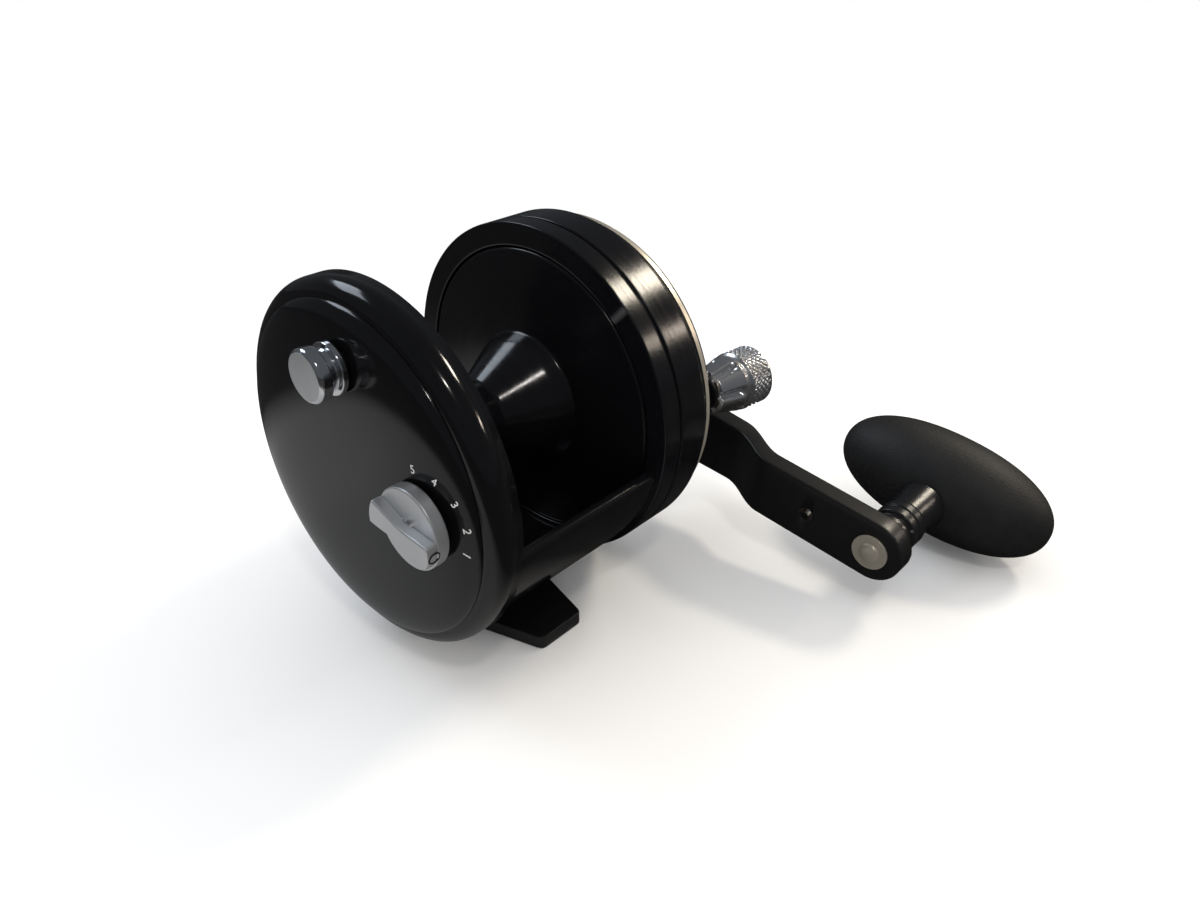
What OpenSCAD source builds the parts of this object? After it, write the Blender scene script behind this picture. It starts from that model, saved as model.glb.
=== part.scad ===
// Two-speed lever-drag trolling reel with an open-top frame.
// X runs along the spool axis towards the handle, Y towards the rod tip, Z up.
// The origin is the middle of the underside of the reel foot.

/* [Frame] */
// Radius of the side plates
plate_r = 35; // [33.5:0.5:38]
// Clear width between the two side plates
window_w = 36.5; // [30:0.5:46]
// Height of the spool axis above the underside of the foot
axis_h = 41.5; // [40:0.5:48]
// Distance of the spool axis behind the middle of the foot
axis_back = 5; // [2:0.5:8]
// Offset of the window from the middle of the foot, towards the left plate
window_shift = 2; // [0:0.5:4]
// Depth of the left housing, from the window to the outer rim
left_t = 6; // [5.5:0.5:8]
// Wall of the shell that joins the plates below the spool
shell_t = 2.8; // [2.2:0.2:4]
// Depth of the right frame ring
ring_t = 10.3; // [9.5:0.1:12]
// Wall of the frame rings around the spool flanges
ring_wall = 4.6; // [4:0.1:5.5]

/* [Spool] */
// Radial gap between a spool flange and the frame
line_gap = 0.35; // [0.25:0.05:0.6]
// Thickness of each spool flange
flange_t = 2; // [1.6:0.2:3]
// Radius of the spool arbor at its slimmest
arbor_r = 7.4; // [7.2:0.2:10]
// Radius of the fixed spool shaft
shaft_r = 2.5; // [2:0.1:3]
// Radius of the shaft where it runs through the pinions
slim_r = 1.7; // [1.4:0.1:1.8]

/* [Gears] */
// Distance from the spool axis down to the crank axis
gear_cd = 18.5; // [18:0.25:19]
// Angle by which the crank axis lies behind straight down
gear_tilt = 6; // [0:1:12]
// Teeth of the high-speed gear
high_gear_teeth = 61; // [61]
// Teeth of the high-speed pinion
high_pinion_teeth = 13; // [13]
// Teeth of the low-speed gear
low_gear_teeth = 55; // [55]
// Teeth of the low-speed pinion
low_pinion_teeth = 19; // [19]
// Face width of each gear
gear_w = 1.5; // [1.2:0.1:1.6]
// Slack of each gear tooth along the pitch circle
backlash = 0.14; // [0.1:0.02:0.2]

/* [Handle] */
// Distance from the crank axis to the grip axis
arm_len = 62; // [55:1:75]
// Thickness of the handle arm
arm_t = 5; // [4:0.5:6]
// Step of the arm back towards the reel
arm_step = 5; // [3:0.5:7]
// Angle of the arm at rest, from straight forward
arm_angle = 188.5; // [180:0.1:200]
// Half length of the grip
grip_half = 25; // [22:0.5:30]
// Radius of the grip at its middle
grip_r = 11.8; // [11:0.2:12.6]
// Radius of the grip spindle
spindle_r = 3; // [2.5:0.1:3.5]

/* [Drag] */
// Distance from the spool axis to the lever knob
knob_at = 30.6; // [29:0.1:32]
// Angle of the lever at rest, from straight forward
lever_angle = 174; // [165:1:180]
// Length of the lever knob
knob_len = 12.2; // [11:0.1:12.4]
// Radius of the lever knob
knob_r = 6.2; // [4.5:0.1:6.2]

/* [Left plate] */
// Distance of the cast dial from the spool axis
dial_at = 21; // [20:0.5:22]
// Radius of the cast dial
dial_r = 7.4; // [6:0.1:8]
// Distance of the clicker button from the spool axis
clicker_at = 22.5; // [21.5:0.5:23]
// Travel of the clicker button
clicker_travel = 4; // [3:0.5:4]

/* [Foot] */
// Length of the foot along the rod
foot_len = 56; // [50:1:64]
// Width of the foot's middle block
foot_w = 32; // [28:1:34]
// Thickness of the foot's tongues
foot_t = 3; // [2.5:0.5:3.5]

/* [Hidden] */
$fn = 96;
eps = 0.01;
run = 0.05;   // running clearance of a shaft in its bore
clear = 0.3;  // clearance between pieces that only pass each other

axis_y = -axis_back;
left_x = -window_shift - window_w / 2;   // inner face of the left plate
right_x = -window_shift + window_w / 2;  // inner face of the right ring
ring_bore = plate_r - ring_wall;
flange_r = ring_bore - line_gap;
recess = 1.6;                            // depth of each flange recess
gear_y = -gear_cd * sin(gear_tilt);
gear_z = -gear_cd * cos(gear_tilt);

// Planes of the gear side, measured outwards from the right ring's inner face
floor_u = ring_t - 2.4;
band_u = ring_t + 4;
trim_u = band_u + 1;
cover_u = trim_u + 2.1;
low_u = ring_t + 2.2;
high_u = low_u + gear_w + 0.5;
hub_u = cover_u + 20;
arm_u = hub_u + 0.6;
case_wall = 1.8;
high_module = 2 * gear_cd / (high_gear_teeth + high_pinion_teeth);
low_module = 2 * gear_cd / (low_gear_teeth + low_pinion_teeth);
addendum = 0.8;                          // of each gear tooth, in modules
gear_case_r = (high_gear_teeth / 2 + addendum) * high_module + 0.75;

// Planes of the left plate, measured outwards from its inner face
web_v = 4.2;
face_v = left_t + 3.2;
dial_angle = 178;     // of the dial around the spool axis, from straight forward
dial_y = dial_at * cos(dial_angle);
dial_z = dial_at * sin(dial_angle);
clicker_angle = 95;   // of the clicker button

// ---------- shapes that several pieces share ----------

// Puts its children on the spool axis, with +Z turned to +X at the plane x
module on_axis(x) translate([x, axis_y, axis_h]) rotate([0, 90, 0]) children();

// Cylinder along X at (y, z) from the spool axis, between the planes x0 and x1
module rod(r, x0, x1, y = 0, z = 0)
  translate([x0, axis_y + y, axis_h + z]) rotate([0, 90, 0]) cylinder(r = r, h = x1 - x0);

// Ring along X at (y, z) from the spool axis
module tube(ro, ri, x0, x1, y = 0, z = 0)
  difference() {
    rod(ro, x0, x1, y, z);
    rod(ri, x0 - 1, x1 + 1, y, z);
  }

// Solid of revolution about the spool axis: points are [radius, distance along +X from x]
module turned(points, x, y = 0, z = 0)
  translate([x, axis_y + y, axis_h + z]) rotate([0, 90, 0]) rotate_extrude() polygon(points);

// Quarter-round points about (r, h) in a profile, from angle a0 to a1
function arc(r, h, radius, a0, a1, n = 8) =
  [for (i = [0:n]) let (a = a0 + (a1 - a0) * i / n) [r + radius * cos(a), h + radius * sin(a)]];

// Places its children at an angle and distance around the spool axis, in the plane across X
module around(angle, distance)
  translate([0, distance * cos(angle), distance * sin(angle)]) children();

// Sealed ball bearing along X: outer race, seal ring and inner race that touch face to face
module bearing(ro, ri, x0, x1, y = 0, z = 0) {
  third = (ro - ri) / 3;
  color("silver") tube(ro, ro - third, x0, x1, y, z);
  color("dimgray") tube(ro - third, ri + third, x0 + 0.2, x1 - 0.2, y, z);
  color("silver") tube(ri + third, ri, x0, x1, y, z);
}

// Cap screw along X with its head at head_x, pointing towards dir
module cap_screw(head_x, dir, r, length, head_r, head_h, y, z) {
  x1 = head_x + dir * head_h;
  x2 = head_x + dir * (head_h + length);
  difference() {
    rod(head_r, min(head_x, x1), max(head_x, x1), y, z);
    translate([head_x - 0.6, axis_y + y, axis_h + z]) rotate([0, 90, 0])
      cylinder(r = head_r * 0.5, h = 1.2, $fn = 6);
  }
  rod(r, min(x1, x2), max(x1, x2), y, z);
}

// Points of one involute gear tooth flank, from the root circle to the tip circle
function involute(base_r, r) =
  let (t = r > base_r ? sqrt(pow(r / base_r, 2) - 1) : 0) t * 180 / PI - atan(t);
function flank(pitch_r, base_r, r, half) =
  half + involute(base_r, pitch_r) - involute(base_r, r);

// Spur gear of module mod, with a tooth centred on local +X
module gear(teeth, mod, w, bore) {
  pitch_r = teeth * mod / 2;
  base_r = pitch_r * cos(20);
  root_r = pitch_r - 1.2 * mod;
  tip_r = pitch_r + addendum * mod;
  start_r = max(root_r + eps, base_r);
  half = 90 / teeth - backlash / pitch_r * 90 / PI;
  steps = [for (i = [0:3]) start_r + (tip_r - start_r) * i / 3];
  side = [for (r = steps) [r, flank(pitch_r, base_r, r, half)]];
  tooth = concat([[root_r, -side[0][1]]], [for (p = side) [p[0], -p[1]]],
    [for (i = [3:-1:0]) side[i]], [[root_r, side[0][1]]]);
  difference() {
    linear_extrude(w) polygon([for (k = [0:teeth - 1]) for (p = tooth)
      let (a = p[1] + k * 360 / teeth) [p[0] * cos(a), p[0] * sin(a)]]);
    translate([0, 0, -1]) cylinder(r = bore, h = w + 2);
  }
}

// Saw-toothed wheel with straight backs
module saw_wheel(teeth, tip_r, depth, w, bore)
  difference() {
    linear_extrude(w) polygon([for (k = [0:teeth - 1]) for (s = [0, 1])
      let (a = (k + s * 0.35) * 360 / teeth, r = s == 0 ? tip_r : tip_r - depth)
      [r * cos(a), r * sin(a)]]);
    translate([0, 0, -1]) cylinder(r = bore, h = w + 2);
  }

// Flat disc with the extra lobe over the gears, between two planes
module case_disc(r, lobe_r, x0, x1) {
  rod(r, x0, x1);
  rod(lobe_r, x0, x1, gear_y, gear_z);
}

// ---------- frame and left plate ----------

shell_out = plate_r - 1;
shell_in = shell_out - shell_t;
cover_r = plate_r - 3;
left_screw_at = cover_r - 4.6;      // circle of the left cover's screws
ring_screw_at = plate_r - 2.3;      // circle of the gear plate's screws
foot_block = 6;

module frame() color([0.05, 0.05, 0.06]) difference() {
  union() {
    turned(concat([[web_hole_r, -recess], [ring_bore, -recess], [ring_bore, 0], [plate_r, 0]],
      arc(plate_r - 3, 3 - left_t, 3, 0, -90),
      [[cover_r - 1.5, -left_t], [cover_r - 1.5, -web_v], [web_hole_r, -web_v]]), left_x);
    turned([[ring_bore, 0], [plate_r, 0], [plate_r, 4.3], [plate_r - 0.6, 4.5], [plate_r - 0.6, 5],
      [plate_r, 5.2], [plate_r, ring_t], [ring_bore, ring_t]], right_x);
    intersection() {
      tube(shell_out, shell_in, left_x - 0.5, right_x + 0.5);
      on_axis(left_x - 1) linear_extrude(window_w + 2) polygon(shell_sector);
    }
    difference() {
      translate([-foot_w / 2, -block_back, foot_block - foot_t])
        cube([foot_w, block_back + block_front, axis_h - foot_block]);
      rod(shell_in + 0.5, left_x - left_t, right_x + ring_t + 10);
      translate([-foot_w, -block_back - 1, axis_h - shell_in * 0.7])
        cube([2 * foot_w, block_back + block_front + 2, axis_h]);
    }
  }
  translate([0, 0, axis_h]) dial_seat() cylinder(r = 7, h = 20, center = true);
  for (a = screw_angles) screw_hole(a, left_x - web_v - 1, left_x + 1, left_screw_at, 1.05);
  for (a = screw_angles) screw_hole(a, left_x - recess - 1.2, left_x, left_screw_at, 2);
  for (a = ring_screw_angles) screw_hole(a, right_x + ring_t - 6, right_x + ring_t + 1, ring_screw_at, 0.8);
  for (p = foot_screw_places) translate([p[0], p[1], 0]) cylinder(r = 1.25, h = 12);
}

web_hole_r = 11.5;
block_back = 10;
block_front = 16;
shell_from = 193;
shell_to = 330;
shell_sector = concat([[0, 0]], [for (i = [0:12]) let (a = shell_from + (shell_to - shell_from) * i / 12)
  [-60 * sin(a), 60 * cos(a)]]);
screw_angles = [30, 150, 270];
ring_screw_angles = [20, 92, 164, 236, 308];
foot_screw_places = [for (x = [-9, 9]) for (y = [-5, 11]) [x, y]];

module dial_seat() translate([left_x - 4, axis_y, 0]) around(dial_angle, dial_at) rotate([0, 90, 0]) children();

// Screw hole at angle a and distance r from the spool axis
module screw_hole(a, x0, x1, r, hole) rod(hole, x0, x1, r * cos(a), r * sin(a));

// Gently crowned face that falls away quickly at the rim
cover_crown = [for (i = [0:10])
  [cover_r * i / 10 * 0.985, -left_t - (face_v - left_t) * pow(1 - pow(i / 10, 4), 0.5)]];

module left_cover() color([0.04, 0.04, 0.05]) difference() {
  union() {
    difference() {
      turned(concat([[0, -left_t], [0, -face_v]], cover_crown, [[cover_r - 0.1, -left_t]]), left_x);
      rod(cover_r - 4, left_x - face_v + 1.6, left_x);
    }
    turned([[cover_r - 3.2, -web_v - 0.2], [cover_r - 1.7, -web_v - 0.2], [cover_r - 1.7, -left_t],
      [cover_r - 1.9, -face_v + 1.8], [cover_r - 4.2, -face_v + 1.5]], left_x);
    rod(5.5, left_x - face_v + 1, left_x - 6.2);
    for (a = screw_angles)
      rod(2.2, left_x - face_v + 1.2, left_x - web_v - 0.05, left_screw_at * cos(a), left_screw_at * sin(a));
    rod(4, left_x - face_v + 1.4, left_x - face_v + 2.6, dial_y, dial_z);
  }
  rod(3.6, left_x - face_v + 1.2, left_x);
  rod(dial_shaft_r + run, left_x - face_v - 6, left_x - face_v + 6, dial_y, dial_z);
  for (s = [0:4]) let (at = clicker_at - s * clicker_travel / 4)
    rod(2 + clear, left_x - face_v - 4, left_x - face_v + 4, at * cos(clicker_angle), at * sin(clicker_angle));
  for (a = screw_angles) screw_hole(a, left_x - face_v + 3, left_x, left_screw_at, 0.8);
}

module left_cover_screws() color("silver") for (a = screw_angles)
  cap_screw(left_x - recess + 0.1, -1, 0.8, 3.6, 1.8, 1, left_screw_at * cos(a), left_screw_at * sin(a));

module at_clicker() translate([left_x, axis_y, axis_h]) around(clicker_angle, clicker_at)
  rotate([clicker_angle - 90, 0, 0]) children();

module clicker_button() color("silver") at_clicker() rotate([0, -90, 0]) difference() {
  rotate_extrude() polygon([[0, 6.2], [2, 6.2], [2, face_v + 0.3], [4.6, face_v + 0.3], [4.6, face_v + 1.3],
    [3.6, face_v + 1.7], [3.6, face_v + 3], [4.7, face_v + 3.2], [4.7, face_v + 5.1],
    [4.3, face_v + 5.6], [0, face_v + 5.6]]);
  translate([0, 0, 6]) cylinder(r = 0.8, h = 2);
}

module clicker_pawl() color("gray") at_clicker() rotate([0, -90, 0]) difference() {
  union() {
    translate([0, 0, 5]) cylinder(r = 2.6, h = 1.2);
    translate([-clicker_at + 15.5, -1, 5]) cube([clicker_at - 15.5, 2, 0.9]);
    translate([-clicker_at + 15.5, -1, 4.6]) cube([2, 2, 1]);
  }
}

module clicker_spring() color("silver") at_clicker() rotate([0, -90, 0])
  for (s = [-1, 1]) translate([-6, s * 3.4 - 0.25, 4.4]) cube([10, 0.5, 1.4]);

module click_ratchet() color("gray") on_axis(left_x - 5.5)
  saw_wheel(24, 10.8, 1.2, 1.1, stub_r + 0.02);

module at_dial() translate([left_x, axis_y, axis_h]) around(dial_angle, dial_at)
  rotate([90, 0, 0]) rotate([0, -90, 0]) rotate(180 - dial_rest) children();

dial_bar = 4.8;
dial_disc = 2.5;     // thickness of the dial's disc
dial_high = 5;       // top of the finger bar above the cover
dial_rest = 14;      // angle of the bar's rear end below straight back
set_screw_v = 3.4;
module cast_dial() color("silver") at_dial() difference() {
  union() {
    translate([0, 0, face_v + clear]) cylinder(r = dial_r, h = dial_disc);
    intersection() {
      translate([-dial_r, -dial_bar / 2, face_v + dial_disc])
        cube([2 * dial_r, dial_bar, dial_high - dial_disc]);
      translate([0, 0, face_v]) cylinder(r = dial_r, h = 6);
    }
  }
  translate([0, 0, face_v]) cylinder(r = dial_shaft_r + 0.02, h = 3.5);
  translate([-dial_r - 1, 0, face_v + set_screw_v]) rotate([0, 90, 0]) cylinder(r = 1.02, h = dial_r - 1);
}

dial_shaft_r = 2;
module dial_set_screw() color("gray") at_dial() difference() {
  translate([-dial_r + 1, 0, face_v + set_screw_v]) rotate([0, 90, 0])
    cylinder(r = 1, h = dial_r - dial_shaft_r - 1.05);
  translate([-dial_r + 0.5, 0, face_v + set_screw_v]) rotate([0, 90, 0])
    cylinder(r = 0.5, h = 1.8, $fn = 6);
}

carrier_v = 5.4;
module dial_shaft() color("silver") at_dial() {
  translate([0, 0, carrier_v - 1.4]) cylinder(r = 1.2, h = face_v + 3.4 - carrier_v);
  translate([0, 0, carrier_v + 1]) cylinder(r = dial_shaft_r, h = face_v + 2.3 - carrier_v);
}

module magnet_carrier() color("gray") at_dial() difference() {
  translate([0, 0, carrier_v - 0.6]) cylinder(r = 6.4, h = 1.2);
  cylinder(r = 1.2 + run, h = 12);
}

module brake_magnets() color("silver") at_dial() for (k = [0:4])
  rotate(k * 72) translate([3.9, 0, carrier_v - 2.2]) cylinder(r = 1.7, h = 1.6);

// ---------- spool and its shaft ----------

stub_r = 6.9;
stub_v = 5.9;
bearing_w = 3;
spool_left = 1.3;       // outer face of the left flange beyond the plate's inner face
spool_right = 2;        // outer face of the right flange beyond the ring's inner face
drag_deep = 1;
drag_out = 26.3;
drag_in = 11.7;
drag_proud = 0.2;
drag_travel = 0.35;

module spool() color([0.06, 0.06, 0.07]) let (w = window_w + spool_right) turned(concat(
  [[5.5, -stub_v], [stub_r, -stub_v], [stub_r, -spool_left], [flange_r, -spool_left],
   [flange_r, flange_t - spool_left - 0.4], [flange_r - 0.4, flange_t - spool_left]],
  [[arbor_r + 5, flange_t - spool_left + 0.8], [arbor_r + 1, 6], [arbor_r, 9]],
  [[arbor_r, w - 15], [arbor_r + 5.2, w - 6.5], [arbor_r + 6.2, w - flange_t - 1.6]],
  [[flange_r - 0.4, w - flange_t], [flange_r, w - flange_t + 0.4], [flange_r, w],
   [drag_out + 0.2, w], [drag_out + 0.2, w - drag_deep], [drag_in - 0.2, w - drag_deep], [drag_in - 0.2, w],
   [5.5, w], [5.5, w - bearing_w], [shaft_r + 1, w - bearing_w], [shaft_r + 1, bearing_w - stub_v],
   [5.5, bearing_w - stub_v]]), left_x);

module spool_bearing_left() bearing(5.5, shaft_r + run, left_x - stub_v, left_x - stub_v + bearing_w);
module spool_bearing_right()
  bearing(5.5, shaft_r + run, right_x + spool_right - bearing_w, right_x + spool_right);

module drag_washer() color([0.15, 0.15, 0.15])
  tube(drag_out, drag_in, right_x + spool_right - drag_deep, right_x + spool_right + drag_proud);

plate_u = spool_right + drag_proud + drag_travel + 0.15;
plate_w = 2;
pinion_u = plate_u + plate_w;
pinion_bore = slim_r + run;
sleeve_r = 2.55;

module drag_springs() color("silver") for (k = [0:1])
  turned([[slim_r + 0.15, 0.7 * k], [3.9, 0.7 * k + 0.3], [3.9, 0.7 * k + 0.5], [slim_r + 0.15, 0.7 * k + 0.2]],
    right_x + spool_right + 0.1);

module spool_shaft() color("silver") {
  rod(shaft_r, left_x - 7.9, right_x + spool_right + 0.05);
  rod(slim_r, right_x + spool_right, right_x + cover_u + 8.5);
}

module shaft_bush() color("goldenrod") tube(3.6, shaft_r + run, left_x - 8, left_x - 6.3);

// ---------- drive on the handle side ----------

module pressure_plate() color("silver") {
  tube(drag_out, 6, right_x + plate_u, right_x + plate_u + plate_w - 0.4);
  tube(6, pinion_bore + 2.4, right_x + plate_u + 0.1, right_x + pinion_u);
  tube(drag_out - 1, drag_out - 4, right_x + plate_u + 1, right_x + pinion_u);
  tube(6, sleeve_r + 0.02, right_x + pinion_u - 0.2, right_x + pinion_u + 1.2);
}

module pinion_cluster() color("goldenrod") {
  tube(sleeve_r, pinion_bore, right_x + pinion_u, right_x + low_u + 0.1);
  on_axis(right_x + low_u) rotate(-gear_tilt + 180 / low_pinion_teeth)
    gear(low_pinion_teeth, low_module, gear_w, pinion_bore);
  tube(sleeve_r, pinion_bore, right_x + low_u + gear_w - 0.1, right_x + high_u + 0.1);
  on_axis(right_x + high_u) rotate(-gear_tilt + 180 / high_pinion_teeth)
    gear(high_pinion_teeth, high_module, gear_w, pinion_bore);
}

module pinion_bearing() bearing(6, sleeve_r + 0.02, right_x + floor_u, right_x + floor_u + 2.4);

rim_r = plate_r - 0.8;
case_in = rim_r - case_wall;
lobe_r = gear_case_r + case_wall;
spigot_r = ring_bore - 0.05;
plate_floor = 0.8;
gear_shaft_r = 3.5;

// Post that takes one of the cover's screws
module cover_post(a)
  rod(2.3, right_x + ring_t + 0.2, right_x + cover_u - cover_wall,
    cover_screw_at * cos(a), cover_screw_at * sin(a));

module gear_plate_body() {
  rod(spigot_r, right_x + floor_u, right_x + ring_t + plate_floor);
  turned([[0, ring_t], [rim_r, ring_t], [rim_r - 0.5, band_u], [0, band_u]], right_x);
  rod(lobe_r, right_x + ring_t, right_x + band_u, gear_y, gear_z);
}

module gear_plate() color([0.04, 0.04, 0.05]) difference() {
  union() {
    for (a = cover_screw_angles) cover_post(a);
    difference() {
      gear_plate_body();
      case_disc(case_in, gear_case_r, right_x + ring_t + plate_floor, right_x + band_u + 1);
    }
  }
  rod(6.02, right_x + floor_u - 1, right_x + floor_u + 2.4);
  rod(sleeve_r + clear, right_x + floor_u, right_x + band_u);
  rod(6.02, right_x + floor_u + 0.6, right_x + ring_t + 2, gear_y, gear_z);
  for (a = ring_screw_angles) screw_hole(a, right_x + ring_t - 1, right_x + band_u + 1, ring_screw_at, 0.85);
  for (a = cover_screw_angles)
    screw_hole(a, right_x + cover_u - 5, right_x + cover_u, cover_screw_at, 1.02);
  for (p = dog_places) rod(dog_pin_r + 0.02, right_x + ring_t - 1, right_x + ring_t + 2, p[0], p[1]);
}

module gear_plate_screws() color("silver") for (a = ring_screw_angles)
  rod(0.8, right_x + ring_t - 5.5, right_x + band_u - 0.2, ring_screw_at * cos(a), ring_screw_at * sin(a));

module on_crank(u) translate([right_x + u, axis_y + gear_y, axis_h + gear_z])
  rotate([0, 90, 0]) rotate(180 - gear_tilt) children();

module high_gear() color("goldenrod") on_crank(high_u)
  gear(high_gear_teeth, high_module, gear_w, gear_shaft_r + 0.02);

module low_gear() color("darkkhaki") on_crank(low_u)
  gear(low_gear_teeth, low_module, gear_w, gear_shaft_r + run);

shift_r = 1.6;
nut_r = 7;
module gear_shaft() color("silver") difference() {
  union() {
    rod(gear_shaft_r, right_x + floor_u + 0.7, right_x + arm_u + arm_t + 2.6, gear_y, gear_z);
    rod(5.6, right_x + tower_u + 0.3, right_x + arm_u, gear_y, gear_z);
  }
  rod(shift_r, right_x + low_u, right_x + arm_u + arm_t + 3, gear_y, gear_z);
}

tower_u = cover_u + 10;
module gear_bearing_inner()
  bearing(6, gear_shaft_r + 0.02, right_x + floor_u + 0.6, right_x + ring_t + plate_floor, gear_y, gear_z);
module gear_bearing_outer()
  bearing(6.5, gear_shaft_r + 0.02, right_x + tower_u - 3.5, right_x + tower_u - 0.5, gear_y, gear_z);

ratchet_u = ring_t + plate_floor + 0.2;
ratchet_tip = 7.6;
module ratchet_wheel() color("gray") on_crank(ratchet_u)
  saw_wheel(12, ratchet_tip, 1.3, 0.9, gear_shaft_r + 0.02);

dog_pin_r = 0.9;
dog_reach = 12.2;   // distance of each dog's pin from the crank axis
dog_places = [for (s = [1, -1]) [gear_y + s * dog_reach, gear_z + 2]];

// Pivoted dog that reaches from its pin to the ratchet wheel; side is 1 in front, -1 behind
module dog(side) let (p = dog_places[side == 1 ? 0 : 1])
  translate([right_x + ratchet_u, axis_y + p[0], axis_h + p[1]]) {
    rotate([0, 90, 0]) translate([0, 0, -plate_floor]) cylinder(r = dog_pin_r, h = plate_floor + 0.9);
    rotate([0, 90, 0]) difference() {
      cylinder(r = 1.6, h = 0.85);
      translate([0, 0, -1]) cylinder(r = dog_pin_r - 0.1, h = 3);
    }
    rotate([side * 30, 0, 0]) translate([0, -side * 1 - (side == 1 ? 2.9 : 0), -0.6]) cube([0.85, 3, 1.2]);
  }

module front_dog() color("gray") dog(1);
module rear_dog() color("gray") dog(-1);

module dog_springs() color("silver") for (s = [1, -1])
  translate([right_x + ratchet_u + 0.05, axis_y + gear_y + s * dog_reach, axis_h + gear_z + 5.3])
    rotate([0, 90, 0]) difference() {
      cylinder(r = 1.5, h = 0.7);
      translate([0, 0, -1]) cylinder(r = 1.1, h = 3);
    }

module trim_ring() color("silver") difference() {
  case_disc(rim_r - 0.5, lobe_r, right_x + band_u, right_x + trim_u);
  case_disc(case_in - 0.5, gear_case_r, right_x + band_u - 1, right_x + trim_u + 1);
}

cover_wall = 1.2;
cover_screw_at = 29.5;
cover_head_r = 1.9;
cover_head_h = 0.6;
cam_deep = 0.6;     // depth of the cam ring's recess in the cover
module right_cover() color([0.04, 0.04, 0.05]) difference() {
  union() {
    turned([[0, trim_u], [rim_r - 0.9, trim_u], [rim_r - 1.1, trim_u + 1], [rim_r - 3, cover_u],
      [0, cover_u]], right_x);
    rod(lobe_r - 0.4, right_x + trim_u, right_x + cover_u - 0.6, gear_y, gear_z);
    rod(9, right_x + cover_u - 1, right_x + tower_u, gear_y, gear_z);
  }
  case_disc(case_in - 0.5, gear_case_r - 0.2, right_x + trim_u - 1, right_x + cover_u - cover_wall);
  rod(slim_r + clear, right_x, right_x + cover_u + 2);
  rod(gear_shaft_r + clear, right_x, right_x + tower_u + 1, gear_y, gear_z);
  rod(6.5, right_x + tower_u - 3.5, right_x + tower_u + 1, gear_y, gear_z);
  rod(7.42, right_x + cover_u - cam_deep, right_x + cover_u + 1);
  for (a = cover_screw_angles) {
    screw_hole(a, right_x + trim_u, right_x + cover_u + 1, cover_screw_at, 1.05);
    screw_hole(a, right_x + cover_u - cover_head_h - 0.05, right_x + cover_u + 1, cover_screw_at,
      cover_head_r + run);
  }
}

cover_screw_angles = [40, 112, 210, 330];
module right_cover_screws() color("silver") for (a = cover_screw_angles)
  cap_screw(right_x + cover_u - 0.05, -1, 1, 4, cover_head_r, cover_head_h,
    cover_screw_at * cos(a), cover_screw_at * sin(a));

module cam_ring() color("gray") difference() {
  tube(7.4, 4.5, right_x + cover_u - cam_deep, right_x + cover_u + 0.2);
  for (a = [0:120:240]) rod(0.8, right_x + cover_u - 1, right_x + cover_u + 1, 6 * cos(a), 6 * sin(a));
}

// ---------- drag lever ----------

lever_u = cover_u + 0.4;
lever_t = 1.8;
module at_lever() translate([right_x, axis_y, axis_h]) rotate([lever_angle, 0, 0]) children();

module drag_lever() color([0.05, 0.05, 0.05]) difference() {
  union() {
    rod(8.6, right_x + lever_u, right_x + lever_u + lever_t);
    at_lever() translate([lever_u + 0.2, 0, 0]) rotate([90, 0, 90]) linear_extrude(lever_t - 0.4)
      polygon([[0, -5.5], [knob_at, -3.4], [knob_at, 3.4], [0, 5.5]]);
    at_lever() translate([lever_u, knob_at, 0]) rotate([0, 90, 0]) cylinder(r = 4.6, h = lever_t);
  }
  rod(slim_r + 0.1, right_x, right_x + lever_u + 10);
}

knob_tilt = 8;
knob_lift = 0.65;   // gap that the tilt needs under the knob's edge
knob_foot_r = 1.2;
module lever_knob() color("silver") at_lever() translate([lever_u + lever_t, knob_at, 0])
  rotate([0, 0, knob_tilt]) rotate([0, 90, 0]) {
    difference() {
      rotate_extrude() polygon([[0, knob_lift], [knob_r - 1.6, knob_lift], [knob_r - 0.5, knob_len * 0.45],
        [knob_r - 1, knob_len * 0.5], [knob_r, knob_len * 0.55], [knob_r, knob_len * 0.92],
        [knob_r - 1, knob_len], [0, knob_len]]);
      for (k = [0:5]) rotate(k * 60) translate([knob_r + 0.7, 0, -1])
        cylinder(r = 1.5, h = knob_len * 0.5, $fn = 24);
    }
    translate([0, 0, 0.2]) cylinder(r = knob_foot_r, h = 1);
  }

module preset_knob() color([0.05, 0.05, 0.05]) difference() {
  rod(6.4, right_x + lever_u + lever_t + 0.3, right_x + lever_u + lever_t + 5);
  for (k = [0:11]) rod(0.9, right_x + lever_u + lever_t - 1, right_x + lever_u + lever_t + 8,
    6.9 * cos(k * 30), 6.9 * sin(k * 30));
  rod(slim_r + run, right_x, right_x + lever_u + lever_t + 10);
  rod(4.2, right_x + lever_u + lever_t, right_x + lever_u + lever_t + 3.4);
}

module preset_spring() color("silver") for (k = [0:3])
  turned([[slim_r + 0.5, k * 0.75], [3.6, k * 0.75 + 0.3], [3.6, k * 0.75 + 0.55],
    [slim_r + 0.5, k * 0.75 + 0.25]], right_x + lever_u + lever_t + 0.1);

// ---------- handle ----------

module at_handle() translate([right_x + arm_u, axis_y + gear_y, axis_h + gear_z])
  rotate([arm_angle, 0, 0]) children();

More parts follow.
